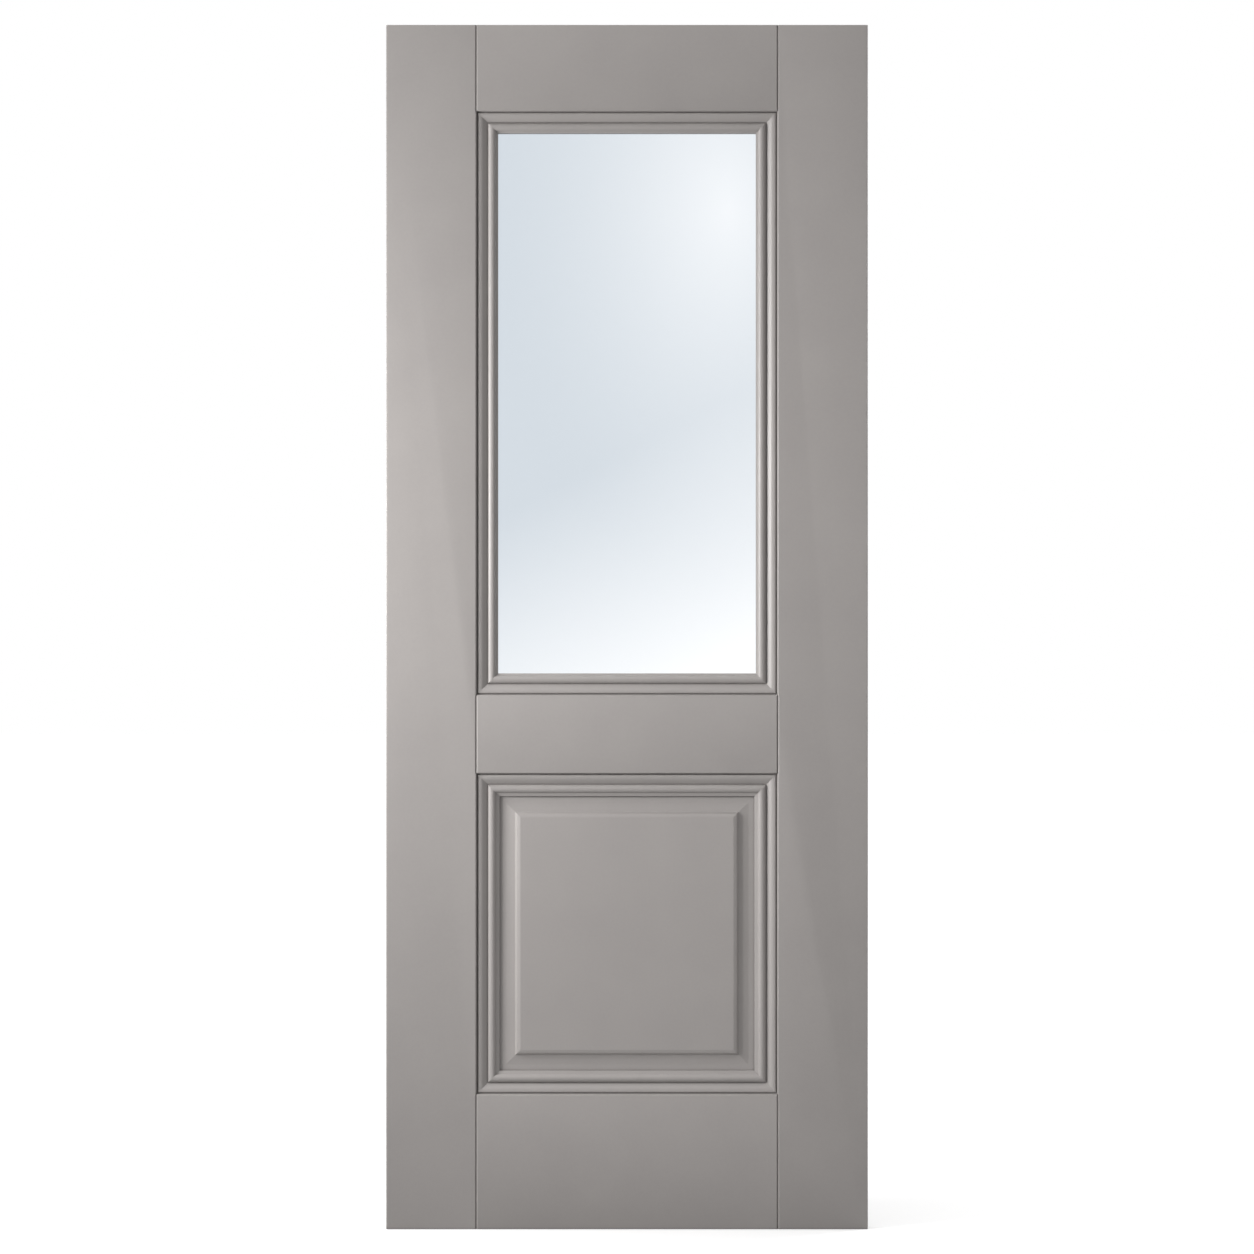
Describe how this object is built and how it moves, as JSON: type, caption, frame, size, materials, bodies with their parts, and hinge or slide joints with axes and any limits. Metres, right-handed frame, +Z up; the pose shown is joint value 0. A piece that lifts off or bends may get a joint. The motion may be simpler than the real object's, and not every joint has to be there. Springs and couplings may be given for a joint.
{
  "type": "half-glazed panelled door leaf",
  "caption": "Painted timber door leaf with a tall clear glass pane over a raised and fielded panel, both framed by mitred bead mouldings on the front and the back.",
  "frame": {"origin": "foot of the hinge edge, on the flat edge face, at the middle of the leaf's thickness", "axes": "+X across the leaf from the hinge edge to the lock edge, +Y from the front face to the back face, +Z up"},
  "size_m": [0.813, 0.035, 2.032],
  "materials": {
    "paint": "satin warm grey paint",
    "glass": "clear float glass, faintly blue"
  },
  "bodies": {
    "root": {"left_stile": "paint", "right_stile": "paint", "top_rail": "paint", "lock_rail": "paint", "bottom_rail": "paint", "raised_panel": "paint", "glass_pane": "glass", "front_glazing_moulding_top": "paint", "front_glazing_moulding_bottom": "paint", "front_glazing_moulding_left": "paint", "front_glazing_moulding_right": "paint", "back_glazing_moulding_top": "paint", "back_glazing_moulding_bottom": "paint", "back_glazing_moulding_left": "paint", "back_glazing_moulding_right": "paint", "front_panel_moulding_top": "paint", "front_panel_moulding_bottom": "paint", "front_panel_moulding_left": "paint", "front_panel_moulding_right": "paint", "back_panel_moulding_top": "paint", "back_panel_moulding_bottom": "paint", "back_panel_moulding_left": "paint", "back_panel_moulding_right": "paint"}
  },
  "joints": []
}
